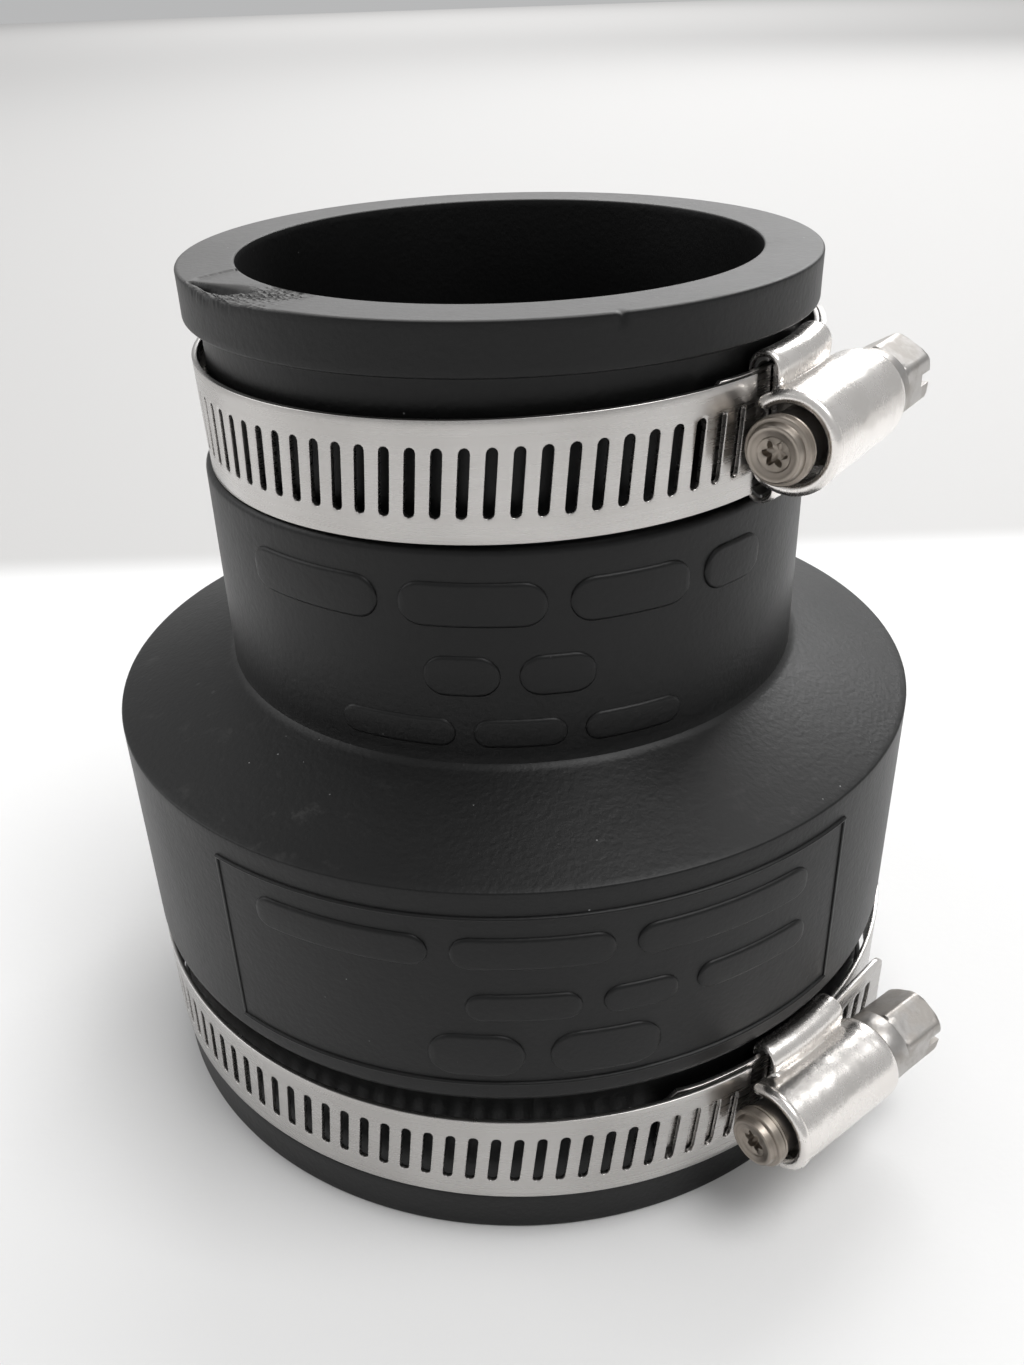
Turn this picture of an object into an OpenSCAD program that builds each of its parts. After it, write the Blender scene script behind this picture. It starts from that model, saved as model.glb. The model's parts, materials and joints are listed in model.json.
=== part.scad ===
// Reducing coupling for plain-end pipe: a moulded rubber sleeve with two worm-drive clamps.
// The large socket opens downward at z = 0 and the small socket opens upward at the top.
// Origin on the sleeve axis at the bottom rim, +Z up, millimetres.

/* [Pipes] */
// Outside diameter of the large pipe, 3 inch nominal
large_pipe_d = 88.9; // [74:0.1:125]
// Outside diameter of the small pipe, 2 inch nominal
small_pipe_d = 60.3; // [45:0.1:72.5]

/* [Sleeve] */
// Rubber thickness around the large pipe
body_wall = 7.65; // [6:0.05:12]
// Rubber thickness around the small pipe
neck_wall = 6.6; // [5:0.05:8]
// Height of the plain body between the lower groove and the shoulder
body_len = 30.7; // [22:0.1:60]
// Height of the sloping shoulder
shoulder_rise = 5.1; // [3:0.1:12]
// Height of the plain neck between the shoulder and the upper groove
neck_len = 25.7; // [20:0.1:60]
// Height of the lip under the lower clamp
lower_lip_h = 5.9; // [4:0.1:12]
// Height of the lip over the upper clamp
upper_lip_h = 5.45; // [4:0.05:12]
// Depth of the lower clamp groove
lower_groove_depth = 1.7; // [1.6:0.05:3]
// Depth of the upper clamp groove
upper_groove_depth = 1.85; // [1.2:0.05:3]
// Rubber above the large pipe's end, below the shoulder edge
roof_h = 7.1; // [6:0.1:12]
// Height of the raised marking bars and outline
relief_h = 0.35; // [0.2:0.05:0.6]

/* [Clamps] */
// Width of the clamp strip, half inch
band_w = 12.7; // [10.5:0.1:16]
// Thickness of the clamp strip
band_t = 0.6; // [0.5:0.01:0.7]
// Free space between two layers of strip
lap_gap = 0.16; // [0.14:0.01:0.2]
// Distance from one strip slot to the next, which is also the screw's lead
slot_pitch = 2.67; // [2.25:0.01:3.2]
// Length of a strip slot
slot_l = 7.25; // [6:0.05:8.7]
// Width of a strip slot
slot_w = 1.17; // [1:0.01:1.3]
// Azimuth of the upper clamp's housing
upper_az = -35.6; // [-180:0.1:180]
// Azimuth of the lower clamp's housing
lower_az = -50.7; // [-180:0.1:180]
// How far the upper clamp leans on the sleeve, in degrees
upper_lean = 1.55; // [0:0.05:1.55]
// Azimuth of the upper clamp's highest point
upper_lean_az = 20; // [-20:1:60]
// Angle between a screw and the strip under the middle of its housing
housing_tilt = 2; // [0:0.1:2]

/* [Screws] */
// Width across the flats of the hex head, 5/16 inch
hex_af = 7.94; // [6.7:0.01:8]
// Length of the hex head
hex_l = 6.9; // [5:0.1:9]
// Radius of the screw's flange
flange_r = 4.5; // [4:0.05:4.5]
// Radius of the screw thread's crest
thread_r = 4; // [3.7:0.05:4]

/* [Hidden] */
// sleeve
large_r = large_pipe_d / 2;
small_r = small_pipe_d / 2;
body_r = large_r + body_wall;
neck_r = small_r + neck_wall;
lower_groove_r = body_r - lower_groove_depth;
upper_groove_r = neck_r - upper_groove_depth;
lower_lip_r = body_r - 0.5;
lower_groove_w = band_w + 3.8;
upper_groove_w = band_w + 4.25;
groove_top = lower_lip_h + lower_groove_w;
body_top = groove_top + body_len;
neck_start = body_top + shoulder_rise;
ledge_z = neck_start + neck_len;
lip_z = ledge_z + upper_groove_w;
sleeve_h = lip_z + upper_lip_h;
large_depth = body_top - roof_h;
small_start = large_depth + 6;
body_edge_r = 1.5;
neck_edge_r = 0.8;
lip_edge_r = 0.5;
rim_edge = 0.3;
line_w = 0.45;

// strip, as two arcs: the inner one about inner_c, the outer one about outer_c
far_gap = 0.3;
near_gap = 1.55;
inner_c = (near_gap - far_gap) / 2;
lap = band_t + lap_gap;
outer_c = inner_c + lap / 2;
inner_end = -20;
upper_slots = 37;
lower_slots = 42;
slot_lean = 6.7;
slot_depth = band_t + lap_gap;
seam_step = 0.015;
upper_rise = 1.12;
lower_rise = 1.7;
upper_z = ledge_z + upper_rise + band_w / 2;
lower_z = lower_lip_h + lower_rise + band_w / 2;

// housing, measured from the strip's outer face (u) and the strip's middle (v)
screw_u = 3.5;
barrel_r = 5.4;
barrel_wall = 0.8;
barrel_tip = -9;
barrel_head = 8.5;
collar_r = 4.75;
collar_t = 0.8;
collar_y = -8.6;
strip_gap = 0.3;
wing_half = 6.5;
wing_u = -0.5;
wing_v = band_w / 2 - 0.2;
wing_wall = 0.6;
link_v = 3.9;
hook_v = 5;
saddle_gap = 0.09;
saddle_wall = 0.45;
saddle_r = wing_u + 2 * band_t + lap_gap + saddle_gap + saddle_wall;
wing_r = saddle_r + 0.05 + wing_wall;
saddle_half = wing_half + 0.8;

// screw, measured along its own axis from the middle of the housing
core_r = 3;
tip_y = -12.5;
step_r = 3.6;
thread_from = -5.6;
thread_to = 7.3;
flange_y = 8.8;
flange_t = 2.8;
hex_y = flange_y + flange_t;
screw_end = hex_y + hex_l;
thread_steps = 20;
thread_root = 1.1;
thread_crest = 0.3;
fixed_end = -2.5 * slot_pitch;
tail_start = -1.5 * slot_pitch;
upper_tail_turn = 38;
lower_tail_turn = 12;
lower_tail_l = 10.2;
tail_flare = 4;

head_roll = 0.55;
overlap = 0.2;
tip_r = 2.9;
tip_l = 0.9;
step_l = 1.6;
recess_r = 1.35;
driver_slot_w = 1.3;
driver_slot_l = 2.2;
tail_chamfer = 3.2;
end_r = 1.8;
end_margin = 2.6;

// rows of marking bars: bottom and top as a fraction of the space, then the bars' azimuths
body_rows = [
  [0.42, 0.78, [[-124, -101], [-98.5, -79], [-76.5, -52]]],
  [-0.2, 0.12, [[-97, -83], [-80.5, -71], [-68.5, -51.5]]],
  [-0.9, -0.38, [[-102, -90], [-87, -73]]]
];
neck_rows = [
  [0.66, 0.86, [[-139.5, -112], [-108.5, -84], [-80.5, -59], [-56, -42]]],
  [0.34, 0.53, [[-105, -92], [-89, -76]]],
  [0.09, 0.23, [[-121, -100], [-97, -81], [-78, -60]]]
];

// colours
rubber = "#2a2a2b";
steel = "#b9babb";
dark_steel = "#8f9092";
screw_steel = "#a39c90";

// ---- shared functions -------------------------------------------------------------

// Inside radius of the strip's inner arc, for a groove of radius g.
function inner_r(g) = g + (far_gap + near_gap) / 2;

// Outside radius of the strip's outer arc.
function outer_r(g) = inner_r(g) + band_t + lap / 2;

// Distance of the screw's axis from the sleeve's axis.
function axis_r(g) = outer_c + outer_r(g) + screw_u;

// Distance from the screw's closest point to the strip, to the middle of the housing.
function mid_y(g) = axis_r(g) * tan(housing_tilt);

// Angle of a length measured along the strip's outer face.
function turn(g, s) = s / outer_r(g) * 180 / PI;

// Points of a rounded corner.
function corner(x, y, r, a0, a1, n = 6) =
  [for (i = [0:n]) [x + r * cos(a0 + (a1 - a0) * i / n), y + r * sin(a0 + (a1 - a0) * i / n)]];

// A point at radius r, angle a from the strip side, and y along the screw's axis.
function on_core(r, a, y) = [-r * cos(a), y, r * sin(a)];

// ---- placing ----------------------------------------------------------------------

// Into the frame of the upper clamp, with x toward the screw's closest point.
module at_upper() {
  translate([0, 0, upper_z])
    rotate(a = -upper_lean, v = [-sin(upper_lean_az), cos(upper_lean_az), 0])
      rotate([0, 0, upper_az - housing_tilt])
        children();
}

// Into the frame of the lower clamp.
module at_lower() {
  translate([0, 0, lower_z])
    rotate([0, 0, lower_az - housing_tilt])
      children();
}

// Onto the screw's axis, with z along it from tip to head and x away from the sleeve.
module on_axis(g, y) {
  translate([axis_r(g), y, 0])
    rotate([-90, 0, 0])
      children();
}

// ---- strip ------------------------------------------------------------------------

// A curved wall about the z axis, from angle a0 to angle a1.
module arc_wall(r0, r1, v0, v1, a0, a1) {
  rotate([0, 0, a0])
    rotate_extrude(angle = a1 - a0, $fn = 144)
      translate([r0, v0])
        square([r1 - r0, v1 - v0]);
}

// A round-ended slot through the strip, leaning like the thread.
module slot_tool() {
  rotate([-slot_lean, 0, 0]) {
    translate([-slot_depth / 2, -slot_w / 2, -(slot_l - slot_w) / 2])
      cube([slot_depth, slot_w, slot_l - slot_w]);
    for (side = [-1, 1])
      translate([-slot_depth / 2, 0, side * (slot_l - slot_w) / 2])
        rotate([0, 90, 0])
          cylinder(h = slot_depth, d = slot_w, $fn = 16);
  }
}

// Slots number k0 to k1 along the outer arc; number 0 is the first one past the contact.
module slots(g, k0, k1) {
  for (k = [k0:k1])
    rotate([0, 0, -turn(g, (k + 0.5) * slot_pitch)])
      translate([outer_r(g) - band_t / 2, 0, 0])
        slot_tool();
}

// The fixed length of strip: inner end, once round the groove, and into the housing.
module band(g, count) {
  difference() {
    union() {
      translate([inner_c, 0, 0])
        arc_wall(inner_r(g), inner_r(g) + band_t, -band_w / 2, band_w / 2, inner_end, 181);
      translate([outer_c, 0, 0])
        arc_wall(outer_r(g) - band_t - seam_step, outer_r(g) + seam_step,
                 -band_w / 2 - seam_step, band_w / 2 + seam_step,
                 180, 360 + turn(g, fixed_end));
    }
    translate([outer_c, 0, 0])
      slots(g, 2, count);
  }
}

// The curved start of the strip's free end, with the slots under the screw.
module tail_arc(g, turn_end) {
  difference() {
    arc_wall(outer_r(g) - band_t, outer_r(g), -band_w / 2, band_w / 2,
             turn(g, tail_start), turn_end);
    slots(g, -floor(turn_end / turn(g, slot_pitch)), 1);
  }
}

// Clips the corners off the end of a curved tail.
module tail_clip(g, turn_end) {
  for (side = [-1, 1])
    rotate([0, 0, turn_end])
      translate([outer_r(g) - 2, 0, side * band_w / 2])
        rotate([45, 0, 0])
          translate([0, -tail_chamfer / 2, -tail_chamfer / 2])
            cube([4, tail_chamfer, tail_chamfer]);
}

// Outline of a straight strip end of length l, with rounded corners.
module end_outline(l) {
  half = band_w / 2 - seam_step;
  polygon(concat(
    [[-overlap, -half]],
    corner(l - end_r, -half + end_r, end_r, -90, 0),
    corner(l - end_r, half - end_r, end_r, 0, 90),
    [[-overlap, half]]
  ));
}

// The straight end of the lower clamp's strip, with slots almost to its tip.
module straight_end(g) {
  l = lower_tail_l;
  rotate([0, 0, lower_tail_turn])
    translate([outer_r(g) - band_t / 2, 0, 0])
      rotate([0, 0, -tail_flare])
        difference() {
          translate([-band_t / 2 + seam_step, 0, 0])
            rotate([90, 0, 90])
              linear_extrude(height = band_t - 2 * seam_step)
                end_outline(l);
          for (k = [1:floor((l - end_margin) / slot_pitch + 0.4)])
            translate([0, (k - 0.4) * slot_pitch, 0])
              slot_tool();
        }
}

// ---- housing, saddle and screw ----------------------------------------------------

// The section of a rolled edge and the plates that join it, for one side of the strip.
module edge_profile(g, side, r, wall, top, top_v, foot, foot_v) {
  translate([outer_r(g) + wing_u, 0])
    scale_side(side) {
      difference() {
        translate([0, wing_v])
          circle(r = r, $fn = 32);
        translate([0, wing_v])
          circle(r = r - wall, $fn = 32);
        translate([-2 * r, wing_v - 4 * r])
          square([4 * r, 4 * r]);
      }
      if (top)
        translate([r - wall, top_v])
          square([wall, wing_v - top_v]);
      if (foot)
        translate([-r, foot_v])
          square([wall, wing_v - foot_v]);
    }
}

// Onto the upper or the lower side of the strip.
module scale_side(side) {
  if (side > 0)
    children();
  else
    mirror([0, 1])
      children();
}

// A section turned through the housing's length, half on each side of its middle.
module along_wing(g, half) {
  rotate([0, 0, housing_tilt - turn(g, half)])
    rotate_extrude(angle = 2 * turn(g, half), $fn = 144)
      children();
}

// The pressed housing: a barrel over the screw, and two wings wrapped around the strip.
module housing(g) {
  s = mid_y(g);
  difference() {
    union() {
      difference() {
        on_axis(g, barrel_tip + s)
          cylinder(h = barrel_head - barrel_tip, r = barrel_r, $fn = 48);
        on_axis(g, barrel_tip + s - 1)
          cylinder(h = barrel_head - barrel_tip + 2, r = barrel_r - barrel_wall, $fn = 48);
      }
      on_axis(g, collar_y + s)
        rotate_extrude($fn = 48)
          translate([collar_r, 0])
            circle(r = collar_t, $fn = 16);
      on_axis(g, barrel_head - head_roll + s)
        rotate_extrude($fn = 48)
          translate([barrel_r - head_roll, 0])
            circle(r = head_roll, $fn = 16);
    }
    translate([outer_c, 0, -2 * barrel_r])
      cylinder(h = 4 * barrel_r, r = outer_r(g) + strip_gap, $fn = 144);
  }
  for (side = [-1, 1])
    translate([outer_c, 0, 0])
      along_wing(g, wing_half)
        edge_profile(g, side, wing_r, wing_wall, true, link_v, true, hook_v);
}

// The saddle between the strip's inner layer and the housing's hooked edges.
module saddle(g) {
  translate([outer_c, 0, 0]) {
    along_wing(g, saddle_half)
      translate([outer_r(g) + wing_u - saddle_r, -wing_v])
        square([saddle_wall, 2 * wing_v]);
    for (side = [-1, 1])
      along_wing(g, saddle_half)
        edge_profile(g, side, saddle_r, saddle_wall, false, 0, false, 0);
  }
}

// Two triangles over four corners.
function two(a, b, c, d) = [[a, b, c], [a, c, d]];

// The threaded part of the screw: one rolled ridge round the core, crests meeting the slots.
module threaded_core(g) {
  m = thread_steps;
  n = ceil((thread_to + mid_y(g) - thread_from) / slot_pitch * m);
  start = thread_from - thread_root / 2 - 2 * overlap;
  end = thread_from + slot_pitch * n / m + thread_root / 2 + 2 * overlap;
  angle = [for (i = [0:n]) (thread_from - slot_pitch / 2) / slot_pitch * 360 + 360 * i / m];
  ridge = [for (i = [0:n]) core_r + (thread_r - core_r) * min(1, i / 5, (n - i) / 5)];
  points = concat(
    [for (i = [0:n])
      for (q = [[core_r, -thread_root / 2], [ridge[i], -thread_crest / 2],
                [ridge[i], thread_crest / 2], [core_r, thread_root / 2]])
        on_core(q[0], angle[i], thread_from + slot_pitch * i / m + q[1])],
    [for (i = [0:m - 1]) on_core(core_r, angle[i], start)],
    [for (i = [n - m + 1:n]) on_core(core_r, angle[i], end)]
  );
  first = 4 * (n + 1);
  last = first + m - (n - m + 1);
  faces = concat(
    [for (i = [0:n - 1]) for (j = [0:2])
      each two(4 * i + j, 4 * i + j + 1, 4 * i + j + 5, 4 * i + j + 4)],
    [for (i = [0:n - m - 1])
      each two(4 * i + 3, 4 * (i + m), 4 * (i + m + 1), 4 * i + 7)],
    [for (i = [0:m - 2])
      each two(first + i, 4 * i, 4 * i + 4, first + i + 1)],
    [for (i = [n - m + 1:n - 1])
      each two(4 * i + 3, last + i, last + i + 1, 4 * i + 7)],
    [[first + m - 1, 4 * (m - 1), 4 * m, 3, 2, 1, 0, first]],
    [[4 * (n - m + 1) + 3, 4 * (n - m) + 3, 4 * n, 4 * n + 1, 4 * n + 2, 4 * n + 3,
      last + n, last + n - m + 1]],
    [[for (i = [0:m - 1]) first + i]],
    [[for (i = [0:m - 1]) last + n - i]]
  );
  translate([axis_r(g), 0, 0])
    polyhedron(points = points, faces = faces, convexity = 10);
}

// A worm-drive screw with a flanged hex head, slotted for a blade.
module screw(g) {
  s = mid_y(g);
  difference() {
    union() {
      on_axis(g, tip_y + s)
        cylinder(h = tip_l + overlap, r1 = tip_r, r2 = tip_r + 0.4, $fn = 40);
      on_axis(g, tip_y + tip_l + s)
        cylinder(h = step_l, r = step_r, $fn = 40);
      on_axis(g, tip_y + tip_l + s)
        cylinder(h = thread_from - thread_root / 2 - overlap - tip_y - tip_l - s,
                 r = core_r + overlap, $fn = 40);
      on_axis(g, thread_to + s + thread_root / 2 + overlap + slot_pitch / thread_steps)
        cylinder(h = flange_y - thread_to, r = core_r + overlap, $fn = 40);
      on_axis(g, flange_y + s)
        cylinder(h = flange_t, r = flange_r, $fn = 48);
      on_axis(g, hex_y - 0.5 + s)
        intersection() {
          cylinder(h = hex_l + 0.5, d = hex_af / cos(30), $fn = 6);
          cylinder(h = hex_l + 0.5, r1 = hex_af / 2 + hex_l + 0.5, r2 = hex_af / 2, $fn = 48);
        }
    }
    on_axis(g, screw_end - driver_slot_l + s)
      translate([-hex_af, -driver_slot_w / 2, 0])
        cube([2 * hex_af, driver_slot_w, driver_slot_l + 1]);
    on_axis(g, tip_y - 1 + s)
      lobed_recess();
  }
  threaded_core(g);
}

// The six-lobed recess in the screw's tip.
module lobed_recess() {
  cylinder(h = 2.2, r = recess_r * 0.8, $fn = 24);
  for (k = [0:5])
    rotate([0, 0, 60 * k])
      translate([recess_r * 0.8, 0, 0])
        cylinder(h = 2.2, r = recess_r * 0.25, $fn = 16);
}

// ---- sleeve -----------------------------------------------------------------------

// The sleeve's section, from the large socket's rim around the outside and back inside.
module sleeve_profile() {
  polygon(concat(
    [[large_r, 0], [lower_lip_r - rim_edge, 0], [lower_lip_r, rim_edge]],
    corner(lower_lip_r - lip_edge_r, lower_lip_h - lip_edge_r, lip_edge_r, 0, 90),
    [[lower_groove_r, lower_lip_h], [lower_groove_r, groove_top]],
    corner(body_r - body_edge_r, groove_top + body_edge_r, body_edge_r, -90, 0),
    [[body_r, body_top], [neck_r, neck_start]],
    corner(neck_r - neck_edge_r, ledge_z - neck_edge_r, neck_edge_r, 0, 90),
    [[upper_groove_r, ledge_z], [upper_groove_r, lip_z]],
    corner(neck_r - rim_edge, lip_z + rim_edge, rim_edge, -90, 0, 3),
    corner(neck_r - rim_edge, sleeve_h - rim_edge, rim_edge, 0, 90, 3),
    [[small_r, sleeve_h], [small_r, small_start], [large_r, large_depth]]
  ));
}

// A raised bar on a cylinder of radius r, from azimuth a0 to a1 and height z0 to z1.
module bar(r, a0, a1, z0, z1, h = relief_h) {
  arc_wall(r - 1, r + h, z0, z1, a0, a1);
}

// The raised outline and rows of plain bars that stand for the moulded marking.
module marking() {
  mid = (groove_top + body_top) / 2;
  half = body_len * 0.39;
  a0 = -130;
  a1 = -45;
  turn_w = line_w / body_r * 180 / PI;
  for (z = [mid - half, mid + half])
    bar(body_r, a0 - turn_w * 0.6, a1 + turn_w * 0.6, z - line_w / 2, z + line_w / 2);
  for (a = [a0, a1])
    bar(body_r, a - turn_w / 2, a + turn_w / 2, mid - half, mid + half, relief_h - 0.02);
  for (row = body_rows)
    for (q = row[2])
      bar(body_r, q[0], q[1], mid + row[0] * half, mid + row[1] * half);
  for (row = neck_rows)
    for (q = row[2])
      bar(neck_r, q[0], q[1], neck_start + row[0] * neck_len, neck_start + row[1] * neck_len);
}

// ---- sub-parts --------------------------------------------------------------------

module sleeve() {
  color(rubber) {
    rotate_extrude($fn = 160)
      sleeve_profile();
    marking();
  }
}

module upper_band() {
  color(steel)
    at_upper()
      band(upper_groove_r, upper_slots);
}

module upper_tail() {
  color(steel)
    at_upper()
      translate([outer_c, 0, 0])
        difference() {
          tail_arc(upper_groove_r, upper_tail_turn);
          tail_clip(upper_groove_r, upper_tail_turn);
        }
}

module upper_housing() {
  color(steel)
    at_upper()
      housing(upper_groove_r);
}

module upper_saddle() {
  color(dark_steel)
    at_upper()
      saddle(upper_groove_r);
}

module upper_screw() {
  color(screw_steel)
    at_upper()
      screw(upper_groove_r);
}

module lower_band() {
  color(steel)
    at_lower()
      band(lower_groove_r, lower_slots);
}

module lower_tail() {
  color(steel)
    at_lower()
      translate([outer_c, 0, 0]) {
        tail_arc(lower_groove_r, lower_tail_turn);
        straight_end(lower_groove_r);
      }
}

module lower_housing() {
  color(steel)
    at_lower()
      housing(lower_groove_r);
}

module lower_saddle() {
  color(dark_steel)
    at_lower()
      saddle(lower_groove_r);
}

module lower_screw() {
  color(screw_steel)
    at_lower()
      screw(lower_groove_r);
}

sleeve();
upper_band();
upper_tail();
upper_housing();
upper_saddle();
upper_screw();
lower_band();
lower_tail();
lower_housing();
lower_saddle();
lower_screw();
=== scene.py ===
"""Looks of the reducing pipe coupling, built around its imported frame.

Lengths inside the classes are millimetres and become metres when a mesh is made. Each clamp is
built in its own frame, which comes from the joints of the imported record: x points away from the
sleeve at the place where the screw meets the strip, y runs along the screw from tip to head.
"""

import json
import logging
import math
from dataclasses import dataclass, field
from enum import Enum
from typing import Any, Callable, Iterable, Optional, Sequence, Union

import bmesh
import bpy
import numpy as np
from mathutils import Matrix, Vector


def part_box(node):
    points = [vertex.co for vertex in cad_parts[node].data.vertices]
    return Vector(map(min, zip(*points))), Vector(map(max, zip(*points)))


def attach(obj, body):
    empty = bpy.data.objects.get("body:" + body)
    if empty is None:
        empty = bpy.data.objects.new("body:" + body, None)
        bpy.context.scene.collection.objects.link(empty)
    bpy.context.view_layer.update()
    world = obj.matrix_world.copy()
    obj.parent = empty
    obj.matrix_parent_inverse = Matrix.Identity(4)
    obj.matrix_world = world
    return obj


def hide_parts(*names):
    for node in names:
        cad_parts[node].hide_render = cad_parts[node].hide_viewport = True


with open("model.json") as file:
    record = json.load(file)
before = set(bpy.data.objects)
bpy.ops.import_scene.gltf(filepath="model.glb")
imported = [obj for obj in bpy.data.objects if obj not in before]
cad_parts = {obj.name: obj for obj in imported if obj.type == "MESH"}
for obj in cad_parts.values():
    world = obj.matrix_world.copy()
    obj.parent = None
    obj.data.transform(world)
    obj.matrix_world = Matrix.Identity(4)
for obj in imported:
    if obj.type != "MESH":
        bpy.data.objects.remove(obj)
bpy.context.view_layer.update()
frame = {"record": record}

log = logging.getLogger("coupling")
MM = 0.001
Operand = Union["Value", int, float]
Place = tuple[float, float]
Point = tuple[float, float, float]
BarRow = tuple[float, float, tuple[Place, ...]]


# ---- shader graphs ------------------------------------------------------------------


class Value:
    """A socket that carries a number, with Python's operators as Math nodes."""

    def __init__(self, graph: "Graph", socket: bpy.types.NodeSocket) -> None:
        """Wraps one output socket of a graph."""
        self.graph = graph
        self.socket = socket

    def __add__(self, other: Operand) -> "Value":
        """Sum."""
        return self.graph.math("ADD", self, other)

    def __radd__(self, other: Operand) -> "Value":
        """Sum with a plain number first."""
        return self.graph.math("ADD", other, self)

    def __sub__(self, other: Operand) -> "Value":
        """Difference."""
        return self.graph.math("SUBTRACT", self, other)

    def __rsub__(self, other: Operand) -> "Value":
        """Difference with a plain number first."""
        return self.graph.math("SUBTRACT", other, self)

    def __mul__(self, other: Operand) -> "Value":
        """Product."""
        return self.graph.math("MULTIPLY", self, other)

    def __rmul__(self, other: Operand) -> "Value":
        """Product with a plain number first."""
        return self.graph.math("MULTIPLY", other, self)

    def step(self, low: float, high: float) -> "Value":
        """A smooth rise from 0 to 1 between two values.

        Args:
            low: where the rise starts.
            high: where it ends.

        Returns:
            The rise, clamped outside those values.
        """
        made = self.graph.node(
            "ShaderNodeMapRange",
            {"interpolation_type": "SMOOTHSTEP"},
            {"Value": self, "From Min": low, "From Max": high},
        )
        return Value(self.graph, made.outputs["Result"])


class Graph:
    """A material's node tree with a Principled shader at its end."""

    def __init__(self, name: str) -> None:
        """Makes the material and finds its shader.

        Args:
            name: the material's name.
        """
        self.material = bpy.data.materials.new(name)
        self.material.use_nodes = True
        self.tree = self.material.node_tree
        self.shader = self.tree.nodes["Principled BSDF"]

    def node(self, kind: str, settings: dict[str, Any], sockets: dict[Any, Any]) -> bpy.types.Node:
        """Adds one node of any type.

        Args:
            kind: the node's type.
            settings: its properties, set first.
            sockets: input names or numbers, with the values or links they take.

        Returns:
            The node.
        """
        made = self.tree.nodes.new(kind)
        for name, value in settings.items():
            setattr(made, name, value)
        for name, value in sockets.items():
            self.feed(made.inputs[name], value)
        return made

    def feed(self, socket: bpy.types.NodeSocket, value: Any) -> None:
        """Links or sets one input socket.

        Args:
            socket: the input.
            value: a link, or the value that it takes.
        """
        if isinstance(value, Value):
            value = value.socket
        if isinstance(value, bpy.types.NodeSocket):
            self.tree.links.new(value, socket)
        else:
            socket.default_value = value

    def math(self, operation: str, *values: Operand) -> Value:
        """One Math node.

        Args:
            operation: the node's operation.
            values: its inputs in order.

        Returns:
            Its result.
        """
        made = self.node("ShaderNodeMath", {"operation": operation}, dict(enumerate(values)))
        return Value(self, made.outputs[0])

    def place(self, output: str = "Object") -> bpy.types.NodeSocket:
        """The point being shaded, in the object's own metres or on its strip map."""
        return self.node("ShaderNodeTexCoord", {}, {}).outputs[output]

    def axes(self, vector: bpy.types.NodeSocket) -> tuple[Value, Value, Value]:
        """The three parts of a vector."""
        made = self.node("ShaderNodeSeparateXYZ", {}, {0: vector})
        return tuple(Value(self, made.outputs[i]) for i in range(3))

    def stretched(self, vector: bpy.types.NodeSocket, scale: Point) -> bpy.types.NodeSocket:
        """A vector with each axis scaled by its own number."""
        made = self.node("ShaderNodeVectorMath", {"operation": "MULTIPLY"}, {0: vector, 1: scale})
        return made.outputs[0]

    def noise(
        self, vector: bpy.types.NodeSocket, scale: float, detail: float = 3, rough: float = 0.5
    ) -> Value:
        """Cloudy noise about 0.5.

        Args:
            vector: where it is read.
            scale: lumps per metre.
            detail: octaves.
            rough: share of each finer octave.

        Returns:
            The noise.
        """
        made = self.node(
            "ShaderNodeTexNoise",
            {},
            {"Vector": vector, "Scale": scale, "Detail": detail, "Roughness": rough},
        )
        return Value(self, made.outputs[0])

    def specks(self, vector: bpy.types.NodeSocket, scale: float, size: float) -> Value:
        """Scattered round specks, 1 inside and 0 outside.

        Args:
            vector: where they are read.
            scale: cells per metre.
            size: a speck's radius as a share of its cell.

        Returns:
            The specks.
        """
        made = self.node("ShaderNodeTexVoronoi", {}, {"Vector": vector, "Scale": scale})
        return 1 - Value(self, made.outputs["Distance"]).step(size * 0.5, size)

    def mix(self, factor: Operand, first: Any, second: Any) -> bpy.types.NodeSocket:
        """A colour between two colours.

        Args:
            factor: 0 for the first and 1 for the second.
            first: a colour or a link.
            second: a colour or a link.

        Returns:
            The mixed colour.
        """
        made = self.node("ShaderNodeMix", {"data_type": "RGBA"}, {0: factor, 6: first, 7: second})
        return made.outputs[2]

    def bump(self, height: Value, distance: float) -> None:
        """Feeds a relief to the shader's normal; a height of 1 stands distance metres proud."""
        made = self.node("ShaderNodeBump", {}, {"Height": height, "Distance": distance})
        self.feed(self.shader.inputs["Normal"], made.outputs[0])

    def set(self, **values: Any) -> None:
        """Sets or links the shader's own sockets, with _ for a space in a name."""
        for name, value in values.items():
            self.feed(self.shader.inputs[name.replace("_", " ")], value)


def grey(level: float, warm: float = 0.0) -> tuple[float, float, float, float]:
    """A grey, with a little more red and less blue as warm rises."""
    return (level * (1 + warm), level, level * (1 - warm), 1.0)


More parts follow.
